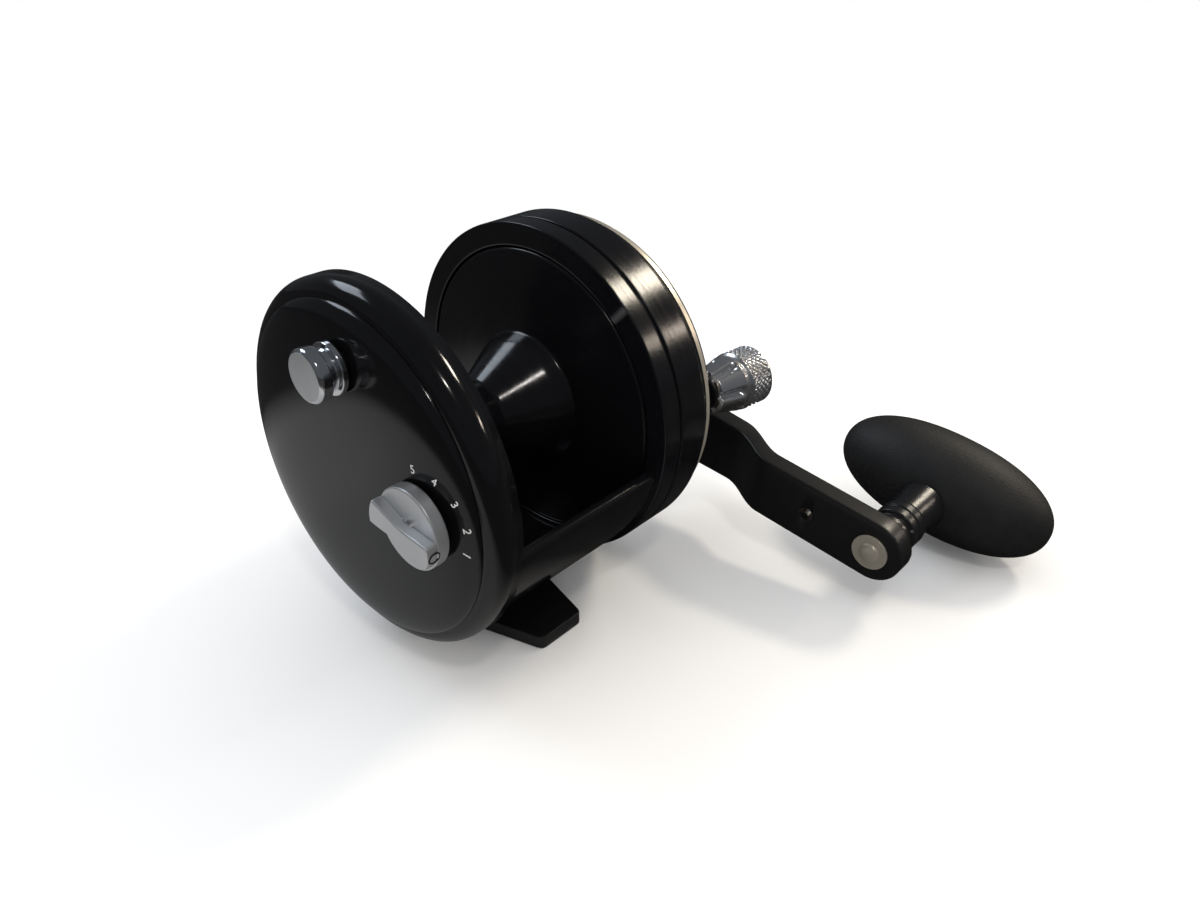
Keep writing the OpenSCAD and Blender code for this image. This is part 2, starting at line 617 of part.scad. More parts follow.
arm_hub_r = 9;
arm_end_r = 6.8;
bend_from = 24;
bend_to = 34;
arm_hole_r = 1.5;
arm_hole_at = 15.5;   // from the grip axis back along the arm
module handle_arm() color([0.05, 0.05, 0.05]) at_handle() difference() {
  intersection() {
    rotate([90, 0, 90]) translate([0, 0, -20]) linear_extrude(40) union() {
      circle(r = arm_hub_r);
      translate([arm_len, 0]) circle(r = arm_end_r);
      polygon([[0, -arm_hub_r], [bend_from, -7.2], [arm_len, -arm_end_r], [arm_len, arm_end_r],
        [bend_from, 7.2], [0, arm_hub_r]]);
    }
    translate([0, 0, -20]) linear_extrude(40) polygon([[0, -20], [0, bend_from], [-arm_step, bend_to],
      [-arm_step, arm_len + 20], [arm_t - arm_step, arm_len + 20], [arm_t - arm_step, bend_to],
      [arm_t, bend_from], [arm_t, -20]]);
  }
  rotate([0, 90, 0]) cylinder(r = gear_shaft_r + 0.02, h = 60, center = true);
  translate([0, arm_len, 0]) rotate([0, 90, 0]) cylinder(r = spindle_r + 0.02, h = 60, center = true);
  translate([0, arm_len - arm_hole_at, 0]) rotate([0, 90, 0]) cylinder(r = arm_hole_r, h = 60, center = true);
  translate([arm_t - 1.6, nut_r + 2, 0]) rotate([0, 90, 0]) cylinder(r = 0.9, h = 20);
}

module handle_nut() color("silver") difference() {
  union() {
    translate([right_x + arm_u + arm_t, axis_y + gear_y, axis_h + gear_z]) rotate([0, 90, 0])
      cylinder(r = nut_r, h = 2.6, $fn = 6);
    rod(5.6, right_x + arm_u + arm_t + 2.5, right_x + arm_u + arm_t + 3.2, gear_y, gear_z);
  }
  rod(gear_shaft_r + 0.02, right_x, right_x + arm_u + 40, gear_y, gear_z);
}

module nut_lock_screw() color("silver") at_handle() translate([arm_t - 1.5, nut_r + 2, 0]) rotate([0, 90, 0]) {
  cylinder(r = 0.8, h = 1.6);
  translate([0, 0, 1.5]) difference() {
    cylinder(r = 1.7, h = 1.2);
    translate([0, 0, 0.7]) cylinder(r = 0.8, h = 1, $fn = 6);
  }
}

module shift_button() color("red") {
  rod(shift_r - run, right_x + low_u + 3.5, right_x + arm_u + arm_t + 3.6, gear_y, gear_z);
  rod(3, right_x + arm_u + arm_t + 5.6, right_x + arm_u + arm_t + 8, gear_y, gear_z);
  rod(shift_r - run, right_x + arm_u + arm_t + 3.5, right_x + arm_u + arm_t + 5.7, gear_y, gear_z);
}

module shift_spring() color("silver")
  tube(2.7, shift_r + 0.1, right_x + arm_u + arm_t + 2.7, right_x + arm_u + arm_t + 5.3, gear_y, gear_z);

stem_from = arm_t - arm_step + 0.3;
stem_len = 19;
grip_x = stem_from + stem_len + grip_r - 1.5;
module at_grip() at_handle() translate([0, arm_len, 0]) children();

module grip_spindle() color("silver") at_grip() rotate([0, 90, 0]) {
  translate([0, 0, -arm_step]) cylinder(r = spindle_r, h = arm_step + grip_x + 5);
}

module grip_collar() color([0.08, 0.08, 0.08]) at_grip() difference() {
  rotate([0, 90, 0]) rotate_extrude() polygon([[spindle_r + clear, stem_from], [5.2, stem_from],
    [5.2, stem_from + 2.5], [4.4, stem_from + 3], [4.4, stem_from + 4], [5.2, stem_from + 4.5],
    [5.2, stem_from + 9], [4.6, stem_from + 9.6],
    [5.4, stem_from + stem_len - 1], [spindle_r + clear, stem_from + stem_len - 1]]);
}

module grip() color([0.09, 0.09, 0.09]) at_grip() difference() {
  hull() translate([grip_x, 0, 0]) rotate([90, 0, 0]) rotate_extrude($fn = 40) polygon(concat([[0, -grip_half]],
    [for (i = [1:19]) let (a = -90 + 9 * i) [grip_r * cos(a), grip_half * sin(a)]], [[0, grip_half]]));
  translate([grip_x - grip_r - 2, 0, 0]) rotate([0, 90, 0]) cylinder(r = spindle_r + 3.02, h = grip_r + 8);
}

module grip_bearings() for (k = [0, 1]) at_grip() translate([stem_from + stem_len + 1 + k * 9, 0, 0])
  rotate([0, 90, 0]) color("silver") difference() {
    cylinder(r = spindle_r + 3, h = 3);
    translate([0, 0, -1]) cylinder(r = spindle_r + run, h = 5);
  }

module grip_washer() color("tan") at_grip() rotate([0, 90, 0]) translate([0, 0, -arm_step - 0.5]) difference() {
  cylinder(r = 3.9, h = 0.5);
  translate([0, 0, -1]) cylinder(r = 1.6, h = 3);
}

module grip_screw() color("tan") at_grip() rotate([0, 90, 0]) translate([0, 0, -arm_step - 0.5])
  rotate_extrude() polygon([[0, -1], [1.4, -0.8], [2.2, 0], [0, 0]]);

// ---------- foot ----------

module reel_foot() color([0.05, 0.05, 0.05]) difference() {
  union() {
    translate([-foot_w / 2, -block_back, 0]) cube([foot_w, block_back + block_front, foot_t]);
    linear_extrude(foot_t) polygon([[-5.6, -foot_len / 2], [5.6, -foot_len / 2], [10.6, -block_back],
      [12, 0], [10.6, block_front], [5.6, foot_len / 2], [-5.6, foot_len / 2], [-10.6, block_front],
      [-12, 0], [-10.6, -block_back]]);
  }
  for (p = foot_screw_places) translate([p[0], p[1], -1]) {
    cylinder(r = 1.3, h = 10);
    cylinder(r = 2.4, h = 2.4);
  }
}

module foot_screws() color("silver") for (p = foot_screw_places) translate([p[0], p[1], 0.2]) {
  difference() {
    cylinder(r = 2.2, h = 1.2);
    translate([0, 0, -1]) cylinder(r = 1, h = 1.6, $fn = 6);
  }
  cylinder(r = 1.2, h = 8);
}

frame();
left_cover();
left_cover_screws();
clicker_button();
clicker_pawl();
clicker_spring();
click_ratchet();
cast_dial();
dial_set_screw();
dial_shaft();
magnet_carrier();
brake_magnets();
spool();
spool_bearing_left();
spool_bearing_right();
drag_washer();
drag_springs();
spool_shaft();
shaft_bush();
pressure_plate();
pinion_cluster();
pinion_bearing();
gear_plate();
high_gear();
low_gear();
gear_shaft();
gear_bearing_inner();
gear_bearing_outer();
ratchet_wheel();
front_dog();
rear_dog();
dog_springs();
gear_plate_screws();
trim_ring();
right_cover();
right_cover_screws();
cam_ring();
drag_lever();
lever_knob();
preset_knob();
preset_spring();
handle_arm();
handle_nut();
nut_lock_screw();
shift_button();
shift_spring();
grip_spindle();
grip();
grip_bearings();
grip_collar();
grip_screw();
grip_washer();
reel_foot();
foot_screws();
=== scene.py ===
import math
import bpy
import bmesh
import numpy as np
from mathutils import Matrix, Vector


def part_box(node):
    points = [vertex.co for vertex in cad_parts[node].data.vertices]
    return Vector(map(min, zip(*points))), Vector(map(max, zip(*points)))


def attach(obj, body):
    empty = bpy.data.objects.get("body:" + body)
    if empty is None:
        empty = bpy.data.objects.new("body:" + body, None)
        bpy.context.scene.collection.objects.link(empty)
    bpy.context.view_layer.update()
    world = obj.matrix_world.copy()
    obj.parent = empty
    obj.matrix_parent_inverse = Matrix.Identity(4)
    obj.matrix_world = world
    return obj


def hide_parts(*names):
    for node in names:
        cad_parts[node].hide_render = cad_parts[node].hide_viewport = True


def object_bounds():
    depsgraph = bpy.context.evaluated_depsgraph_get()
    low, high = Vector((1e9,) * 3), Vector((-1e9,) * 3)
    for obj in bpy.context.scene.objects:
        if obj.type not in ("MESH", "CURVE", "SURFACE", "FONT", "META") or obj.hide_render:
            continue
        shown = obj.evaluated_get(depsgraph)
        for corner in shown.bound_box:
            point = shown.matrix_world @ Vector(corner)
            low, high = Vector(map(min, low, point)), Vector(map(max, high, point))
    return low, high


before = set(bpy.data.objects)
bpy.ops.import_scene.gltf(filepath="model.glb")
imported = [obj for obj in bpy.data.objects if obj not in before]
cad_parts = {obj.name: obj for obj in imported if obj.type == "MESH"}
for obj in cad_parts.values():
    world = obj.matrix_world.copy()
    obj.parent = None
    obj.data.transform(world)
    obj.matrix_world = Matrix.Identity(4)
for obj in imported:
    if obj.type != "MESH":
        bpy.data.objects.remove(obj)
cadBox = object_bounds()
mm = 0.001

# places read from the frame

def middleOf(node):
    low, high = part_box(node)
    return (np.array(low) + np.array(high)) / 2 / mm


def spanOf(node, axis):
    low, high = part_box(node)
    return low[axis] / mm, high[axis] / mm


spoolY, spoolZ = middleOf("spool_shaft")[1:]
crankY, crankZ = middleOf("gear_shaft")[1:]
gripY, gripZ = middleOf("grip_screw")[1:]
# the spool's journal reaches out past the left plate, and the gear plate sits back inside the right ring
journalOut = 5.9
plateSetBack = 7.9
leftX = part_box("spool")[0][0] / mm + journalOut           # inner face of the left plate
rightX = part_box("gear_plate")[0][0] / mm - plateSetBack   # inner face of the right ring
plateRadius = (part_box("frame")[1][1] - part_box("frame")[0][1]) / mm / 2
print("frame read: plates at x", round(leftX, 2), round(rightX, 2), "radius", round(plateRadius, 2))

# shapes

def roundedLine(points, radius, steps=4, closed=False):
    # each corner becomes a quadratic arc from a point before it to a point after it
    points = [np.array(p, float) for p in points]
    count = len(points)
    out = []
    for i, p in enumerate(points):
        if not closed and i in (0, count - 1):
            out.append(p)
            continue
        before, after = points[i - 1], points[(i + 1) % count]
        cut = min(radius, 0.4 * np.linalg.norm(before - p), 0.4 * np.linalg.norm(after - p))
        start = p + (before - p) / np.linalg.norm(before - p) * cut
        end = p + (after - p) / np.linalg.norm(after - p) * cut
        out.append(start + (start - p) * 0.12)
        for t in np.linspace(0, 1, steps + 1):
            out.append((1 - t) ** 2 * start + 2 * t * (1 - t) * p + t ** 2 * end)
        out.append(end + (end - p) * 0.12)
    return np.array(out)


def gridFaces(rows, columns, wrapRows=False, wrapColumns=False):
    # quads (i, j), (i+1, j), (i+1, j+1), (i, j+1) over the whole grid
    i, j = np.meshgrid(np.arange(rows - (0 if wrapRows else 1)), np.arange(columns - (0 if wrapColumns else 1)),
                       indexing="ij")
    up, over = (i + 1) % rows, (j + 1) % columns
    return np.stack([i * columns + j, up * columns + j, up * columns + over, i * columns + over], -1).reshape(-1, 4)


def makePiece(name, verts, faces, body, slotName, material, replaces=(), smooth=True, bevel=0.0):
    # a mesh object at the origin from an array of points in millimetres
    mesh = bpy.data.meshes.new(name)
    mesh.from_pydata((np.asarray(verts, float) * mm).tolist(), [], [list(map(int, f)) for f in faces])
    work = bmesh.new()
    work.from_mesh(mesh)
    bmesh.ops.remove_doubles(work, verts=work.verts, dist=2e-6)
    bmesh.ops.dissolve_degenerate(work, edges=work.edges, dist=1e-6)
    bmesh.ops.recalc_face_normals(work, faces=work.faces)
    work.to_mesh(mesh)
    work.free()
    mesh.polygons.foreach_set("use_smooth", np.full(len(mesh.polygons), smooth))
    piece = bpy.data.objects.new(name, mesh)
    bpy.context.scene.collection.objects.link(piece)
    piece.data.materials.append(material)
    if bevel:
        edge = piece.modifiers.new("edge", "BEVEL")
        edge.width = bevel * mm
        edge.segments = 3
        edge.limit_method = "ANGLE"
        edge.angle_limit = math.radians(30)
        edge.harden_normals = True
    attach(piece, body)
    if replaces:
        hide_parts(*replaces)
    return piece


def latheGrid(profile, centre=None, segments=160):
    # radius and x from the profile, turned about an axis along X through centre (y, z)
    centre = (spoolY, spoolZ) if centre is None else centre
    profile = np.asarray(profile, float)
    turn = np.linspace(0, 2 * np.pi, segments, endpoint=False)
    radius, along = profile[:, 0], profile[:, 1]
    verts = np.stack([np.broadcast_to(along, (segments, len(along))),
                      centre[0] + np.cos(turn)[:, None] * radius,
                      centre[1] + np.sin(turn)[:, None] * radius], -1).reshape(-1, 3)
    return verts, gridFaces(segments, len(along), wrapRows=True)


def lathe(name, profile, body, slotName, material, centre=None, replaces=(), radius=0.4, steps=4, segments=160,
          closed=False):
    line = roundedLine(profile, radius, steps, closed)
    if closed:
        line = np.vstack([line, line[:1]])
    verts, faces = latheGrid(line, centre, segments)
    return makePiece(name, verts, faces, body, slotName, material, replaces)


def joined(parts):
    # one list of points and faces from several
    verts, faces, offset = [], [], 0
    for v, f in parts:
        verts.append(np.asarray(v, float))
        faces += [[int(k) + offset for k in face] for face in f]
        offset += len(v)
    return np.vstack(verts), faces


def slab(outline, low, high):
    # a flat outline of (u, v) points between two heights, both ends closed
    outline = np.asarray(outline, float)
    count = len(outline)
    verts = np.vstack([np.c_[outline, np.full(count, low)], np.c_[outline, np.full(count, high)]])
    k = np.arange(count)
    sides = np.stack([k, (k + 1) % count, (k + 1) % count + count, k + count], -1).tolist()
    return verts, sides + [k[::-1].tolist(), (k + count).tolist()]


# shader effects shared by the finishes

def newGroup(name, inputs, outputs):
    group = bpy.data.node_groups.new(name, "ShaderNodeTree")
    for label, kind, value in inputs:
        socket = group.interface.new_socket(name=label, in_out="INPUT", socket_type=kind)
        if value is not None:
            socket.default_value = value
    for label, kind in outputs:
        group.interface.new_socket(name=label, in_out="OUTPUT", socket_type=kind)
    return group, group.nodes.new("NodeGroupInput"), group.nodes.new("NodeGroupOutput")


def math2(tree, operation, a, b=0.0, clamp=False):
    node = tree.nodes.new("ShaderNodeMath")
    node.operation = operation
    node.use_clamp = clamp
    for socket, value in zip(node.inputs, (a, b)):
        if isinstance(value, (int, float)):
            socket.default_value = value
        else:
            tree.links.new(value, socket)
    return node.outputs[0]


def noiseNode(tree, coordinates, scale, detail=3.0, roughness=0.5):
    node = tree.nodes.new("ShaderNodeTexNoise")
    node.inputs["Scale"].default_value = scale
    node.inputs["Detail"].default_value = detail
    node.inputs["Roughness"].default_value = roughness
    tree.links.new(coordinates, node.inputs["Vector"])
    return node.outputs["Fac"]


def rampNode(tree, value, low, high):
    node = tree.nodes.new("ShaderNodeMapRange")
    node.inputs["From Min"].default_value = low
    node.inputs["From Max"].default_value = high
    tree.links.new(value, node.inputs["Value"])
    return node.outputs["Result"]


def buildTurning():
    # fine rings left by the lathe, as a height that repeats along X and outwards from an axis
    entries = [("Vector", "NodeSocketVector", None), ("Scale", "NodeSocketFloat", 900.0)]
    results = [("Height", "NodeSocketFloat"), ("Streak", "NodeSocketFloat")]
    group, entry, leave = newGroup("turningLines", entries, results)
    split = group.nodes.new("ShaderNodeSeparateXYZ")
    group.links.new(entry.outputs["Vector"], split.inputs[0])
    y2 = math2(group, "POWER", math2(group, "SUBTRACT", split.outputs["Y"], spoolY * mm), 2)
    z2 = math2(group, "POWER", math2(group, "SUBTRACT", split.outputs["Z"], spoolZ * mm), 2)
    reach = math2(group, "SQRT", math2(group, "ADD", y2, z2))
    place = group.nodes.new("ShaderNodeCombineXYZ")
    group.links.new(math2(group, "MULTIPLY", split.outputs["X"], entry.outputs["Scale"]), place.inputs[0])
    group.links.new(math2(group, "MULTIPLY", reach, entry.outputs["Scale"]), place.inputs[1])
    fine = noiseNode(group, place.outputs[0], 3.0, 4.0, 0.7)
    broad = noiseNode(group, place.outputs[0], 0.5, 2.0, 0.5)
    group.links.new(fine, leave.inputs["Height"])
    group.links.new(broad, leave.inputs["Streak"])
    return group


def buildDust():
    # sparse small specks: the cores of a few voronoi cells
    entries = [("Vector", "NodeSocketVector", None), ("Scale", "NodeSocketFloat", 260.0),
               ("Amount", "NodeSocketFloat", 0.12)]
    group, entry, leave = newGroup("dustSpecks", entries, [("Mask", "NodeSocketFloat")])
    cells = group.nodes.new("ShaderNodeTexVoronoi")
    group.links.new(entry.outputs["Vector"], cells.inputs["Vector"])
    group.links.new(entry.outputs["Scale"], cells.inputs["Scale"])
    tone = group.nodes.new("ShaderNodeSeparateColor")
    group.links.new(cells.outputs["Color"], tone.inputs[0])
    chosen = math2(group, "LESS_THAN", tone.outputs[0], entry.outputs["Amount"])
    size = math2(group, "MULTIPLY", tone.outputs[1], 0.09)
    core = math2(group, "LESS_THAN", cells.outputs["Distance"], size)
    group.links.new(math2(group, "MULTIPLY", chosen, core), leave.inputs["Mask"])
    return group


def buildBlast():
    # bead-blasted or moulded grain as a height, with broad patches for the roughness
    entries = [("Vector", "NodeSocketVector", None), ("Scale", "NodeSocketFloat", 3000.0)]
    results = [("Height", "NodeSocketFloat"), ("Patch", "NodeSocketFloat")]
    group, entry, leave = newGroup("blastGrain", entries, results)
    node = group.nodes.new("ShaderNodeTexNoise")
    node.inputs["Detail"].default_value = 3.0
    group.links.new(entry.outputs["Vector"], node.inputs["Vector"])
    group.links.new(entry.outputs["Scale"], node.inputs["Scale"])
    group.links.new(node.outputs["Fac"], leave.inputs["Height"])
    group.links.new(noiseNode(group, entry.outputs["Vector"], 120.0, 4.0, 0.6), leave.inputs["Patch"])
    return group


def buildEdgeWear():
    # worn edges: where the curved surface points away from its neighbours
    entries = [("Vector", "NodeSocketVector", None), ("Low", "NodeSocketFloat", 0.53), ("High", "NodeSocketFloat", 0.6)]
    group, entry, leave = newGroup("edgeWear", entries, [("Mask", "NodeSocketFloat")])
    geometry = group.nodes.new("ShaderNodeNewGeometry")
    breakUp = noiseNode(group, entry.outputs["Vector"], 900.0, 4.0, 0.7)
    ragged = math2(group, "MULTIPLY", math2(group, "SUBTRACT", breakUp, 0.5), 0.06)
    height = math2(group, "ADD", geometry.outputs["Pointiness"], ragged)
    span = math2(group, "SUBTRACT", entry.outputs["High"], entry.outputs["Low"])
    mask = math2(group, "DIVIDE", math2(group, "SUBTRACT", height, entry.outputs["Low"]), span, clamp=True)
    group.links.new(mask, leave.inputs["Mask"])
    return group


turningGroup, dustGroup, blastGroup, wearGroup = buildTurning(), buildDust(), buildBlast(), buildEdgeWear()


def placeGroup(tree, group, coordinates, **values):
    node = tree.nodes.new("ShaderNodeGroup")
    node.node_tree = group
    tree.links.new(coordinates, node.inputs["Vector"])
    for label, value in values.items():
        node.inputs[label].default_value = value
    return node


def mixColour(tree, mask, base, other):
    node = tree.nodes.new("ShaderNodeMix")
    node.data_type = "RGBA"
    for socket, value in ((node.inputs[6], base), (node.inputs[7], other)):
        if isinstance(value, tuple):
            socket.default_value = (*value, 1.0)
        else:
            tree.links.new(value, socket)
    tree.links.new(mask, node.inputs[0])
    return node.outputs[2]


wornMetal = (0.45, 0.45, 0.46)
dustColour = (0.5, 0.48, 0.44)
bumpLook = {"strength": 0.6, "distance": 0.00002}


def finish(name, colour, roughness, metallic=0.0, grain=0.0, grainScale=3000.0, turning=0.0, turningScale=900.0,
           dust=0.0, wear=0.0, patch=0.06, specular=0.5, tint=0.15):
    # one Principled surface whose colour, roughness and normal come from the shared effects
    material = bpy.data.materials.new(name)
    material.use_nodes = True
    tree = material.node_tree
    shader = tree.nodes["Principled BSDF"]
    coordinates = tree.nodes.new("ShaderNodeTexCoord").outputs["Object"]
    blast = placeGroup(tree, blastGroup, coordinates, Scale=grainScale)
    lines = placeGroup(tree, turningGroup, coordinates, Scale=turningScale)
    darker = tuple(c * (1 - tint) for c in colour)
    base = mixColour(tree, rampNode(tree, blast.outputs["Patch"], 0.35, 0.65), darker, colour)
    rough = math2(tree, "ADD", roughness - patch / 2, math2(tree, "MULTIPLY", blast.outputs["Patch"], patch))
    if turning:
        streak = math2(tree, "SUBTRACT", lines.outputs["Streak"], 0.5)
        rough = math2(tree, "ADD", rough, math2(tree, "MULTIPLY", streak, 0.2 * turning))
    if wear:
        worn = placeGroup(tree, wearGroup, coordinates, Low=0.62 - 0.08 * wear, High=0.72 - 0.08 * wear)
        base = mixColour(tree, math2(tree, "MULTIPLY", worn.outputs["Mask"], 0.6 * wear), base, wornMetal)
    if dust:
        specks = placeGroup(tree, dustGroup, coordinates, Scale=300.0, Amount=dust)
        base = mixColour(tree, math2(tree, "MULTIPLY", specks.outputs["Mask"], 0.7), base, dustColour)
        rough = math2(tree, "ADD", rough, math2(tree, "MULTIPLY", specks.outputs["Mask"], 0.4), clamp=True)
    tree.links.new(base, shader.inputs["Base Color"])
    tree.links.new(rough, shader.inputs["Roughness"])
    shader.inputs["Metallic"].default_value = metallic
    shader.inputs["Specular IOR Level"].default_value = specular
    height = math2(tree, "ADD", math2(tree, "MULTIPLY", blast.outputs["Height"], grain),
                   math2(tree, "MULTIPLY", lines.outputs["Height"], turning))
    bump = tree.nodes.new("ShaderNodeBump")
    bump.inputs["Strength"].default_value = bumpLook["strength"]
    bump.inputs["Distance"].default_value = bumpLook["distance"]
    tree.links.new(height, bump.inputs["Height"])
    tree.links.new(bump.outputs["Normal"], shader.inputs["Normal"])
    return material


finishes = {
    "plateBlack": finish("plateBlack", (0.003, 0.003, 0.0035), 0.12, grain=0.15, turning=0.15, dust=0.05,
                         specular=0.45),
    "bandBlack": finish("bandBlack", (0.004, 0.004, 0.005), 0.2, 0.1, turning=1.2, turningScale=1500.0,
                        wear=0.2),
    "spoolBlack": finish("spoolBlack", (0.004, 0.004, 0.005), 0.16, 0.1, turning=0.8, turningScale=1200.0),
    "satinBlack": finish("satinBlack", (0.006, 0.006, 0.0065), 0.36, grain=1.2, grainScale=2600.0,
                         wear=0.3, dust=0.03),
    "collarBlack": finish("collarBlack", (0.008, 0.008, 0.009), 0.28, grain=0.6, wear=0.4),
    "gripRubber": finish("gripRubber", (0.009, 0.009, 0.0095), 0.6, 0.0, grain=5.0, grainScale=1700.0,
                         patch=0.12, dust=0.06, tint=0.3),
    "blastedAlloy": finish("blastedAlloy", (0.74, 0.75, 0.76), 0.42, 0.9, grain=2.0, grainScale=4200.0,
                           patch=0.1, tint=0.08),
    "knobAlloy": finish("knobAlloy", (0.93, 0.93, 0.94), 0.27, 1.0, grain=0.3, patch=0.1, tint=0.04),
    "polishedAlloy": finish("polishedAlloy", (0.84, 0.85, 0.87), 0.13, 1.0, grain=0.3, turning=0.5,
                            patch=0.1, tint=0.06),
    "champagneAlloy": finish("champagneAlloy", (0.72, 0.66, 0.55), 0.38, 0.8, grain=1.4, patch=0.1,
                             tint=0.1),
    "steel": finish("steel", (0.55, 0.56, 0.57), 0.24, 1.0, turning=0.8, patch=0.12),
    "bronze": finish("bronze", (0.62, 0.43, 0.20), 0.28, 1.0, turning=0.6, patch=0.12),
    "carbonDisc": finish("carbonDisc", (0.03, 0.03, 0.032), 0.5, 0.0, grain=3.0, grainScale=1200.0),
    "dialInk": finish("dialInk", (0.62, 0.62, 0.60), 0.5, 0.0, grain=0.5, patch=0.1),
}
print("finishes made:", len(finishes))

# one-piece frame: left housing, right ring, shell and foot block

frameLook = {"edgeRound": 0.35, "rimRound": 3.0, "plateDeep": 6.0, "rimWide": 4.5, "ringWide": 4.6, "boreRadius": 11.5,
             "floorFrom": 1.6, "floorTo": 4.2, "shellFrom": 193, "shellTo": 330, "shellWall": 2.8, "shellInset": 1.0,
             "shellOverlap": 0.3, "blockFront": 16.0, "blockBack": 10.0, "blockWidth": 32.0, "blockFoot": 3.0,
             "blockClear": 3.3, "grooveAt": 4.3, "grooveDeep": 0.6, "grooveWide": 0.85, "ringLip": 4.0}
ringBore = plateRadius - frameLook["ringWide"]
ringDepth = spanOf("gear_plate", 0)[1] - rightX - frameLook["ringLip"]


def housingProfile():
    # the left plate: a floor with a bore, a rim around it, and a quarter-round outer edge
    look = frameLook
    rim, bore, outer = look["rimRound"], look["boreRadius"], leftX - look["plateDeep"]
    floorIn, floorOut = leftX - look["floorFrom"], leftX - look["floorTo"]
    arcAngle = np.radians(np.linspace(0, -90, 9))
    arcPoints = np.c_[plateRadius - rim + rim * np.cos(arcAngle), outer + rim + rim * np.sin(arcAngle)]
    seat = plateRadius - look["rimWide"]
    inner = [(seat, outer), (seat, floorOut), (bore, floorOut), (bore, floorIn), (ringBore, floorIn),
             (ringBore, leftX), (plateRadius, leftX)]
    return np.vstack([roundedLine(inner, look["edgeRound"], 3), arcPoints])


def ringProfile():
    # a plain ring with a shallow groove turned round it, whose walls slope a little
    x, bottom, slope = rightX + frameLook["grooveAt"], plateRadius - frameLook["grooveDeep"], 0.15
    end = x + frameLook["grooveWide"]
    line = [(ringBore, rightX), (plateRadius, rightX), (plateRadius, x), (bottom, x + slope),
            (bottom, end - slope), (plateRadius, end), (plateRadius, rightX + ringDepth),
            (ringBore, rightX + ringDepth)]
    return roundedLine(line, frameLook["edgeRound"], 4, closed=True)


def shellGrid():
    # a wall of constant thickness bent about the spool axis, with half-round long edges
    look, steps = frameLook, 60
    outer = plateRadius - look["shellInset"]
    wall = look["shellWall"]
    turn = np.radians(np.linspace(look["shellFrom"], look["shellTo"], steps))
    cap = np.radians(np.linspace(0, 180, 9))
    middle = outer - wall / 2
    startCap = np.c_[middle + wall / 2 * np.cos(cap[::-1]), turn[0] - wall / 2 / middle * np.sin(cap)]
    endCap = np.c_[middle + wall / 2 * np.cos(cap), turn[-1] + wall / 2 / middle * np.sin(cap)]
    ring = np.vstack([startCap, np.c_[np.full(steps, outer), turn], endCap,
                      np.c_[np.full(steps, outer - wall), turn[::-1]]])
    over = look["shellOverlap"]
    along = np.array([leftX - over, leftX + 3, rightX - 3, rightX + over])
    verts = np.stack(np.broadcast_arrays(along[:, None], spoolY + ring[:, 0] * np.cos(ring[:, 1]),
                                         spoolZ + ring[:, 0] * np.sin(ring[:, 1])), -1).reshape(-1, 3)
    return verts, gridFaces(len(along), len(ring), wrapColumns=True)


def blockSolid():
    # the foot block's side outline, cut away by the spool's space above it
    back, front = -frameLook["blockBack"], frameLook["blockFront"]
    reach = plateRadius - frameLook["blockClear"]
    y = np.linspace(front, back, 14)
    top = np.c_[y, spoolZ - np.sqrt(reach ** 2 - (y - spoolY) ** 2)]
    outline = np.vstack([[(back, frameLook["blockFoot"]), (front, frameLook["blockFoot"])], top])
    verts, faces = slab(outline, -frameLook["blockWidth"] / 2, frameLook["blockWidth"] / 2)
    return verts[:, [2, 0, 1]], faces


def closedLathe(profile):
    return latheGrid(np.vstack([profile, profile[:1]]), segments=192)


frameBody = makePiece("frameBody", *joined([closedLathe(housingProfile()), shellGrid()]), "reel", "polished_black",
                      finishes["plateBlack"])
makePiece("rightRing", *closedLathe(ringProfile()), "reel", "polished_black", finishes["bandBlack"])
makePiece("footBlock", *blockSolid(), "reel", "polished_black", finishes["plateBlack"], smooth=False, bevel=0.6)
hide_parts("frame")
print("frame made")

# left cover, with its plain numbers

coverLook = {"radius": plateRadius - 3.06, "crown": 3.2, "start": 6.0, "flatness": 4.0, "lipDeep": 0.6, "lipIn": 0.12,
             "backDeep": 1.0, "backIn": 1.2}
numberLook = {"height": 2.1, "distance": 9.3, "first": 200.0, "last": 82.0, "proud": 0.05}


def coverHeight(reach):
    # crown times the root of one minus the reach to a power: flat in the middle, upright at the rim
    share = np.clip(reach / coverLook["radius"], 0, 1)
    return coverLook["start"] + coverLook["crown"] * np.sqrt(1 - share ** coverLook["flatness"])


def coverProfile():
    # the crowned face out to the rim, then a small lip turned back under it
    look = coverLook
    rim = leftX - look["start"]
    reach = look["radius"] * np.sin(np.linspace(0, np.pi / 2, 60))
    lip = (look["radius"] - look["lipIn"], rim + look["lipDeep"])
    back = (look["radius"] - look["backIn"], rim + look["backDeep"])
    return np.vstack([np.c_[reach, leftX - coverHeight(reach)], [lip, back]])


makePiece("leftCover", *latheGrid(coverProfile(), segments=192), "reel", "polished_black", finishes["plateBlack"],
          replaces=["left_cover"])

dialMiddle = middleOf("cast_dial")
clickMiddle = middleOf("clicker_button")


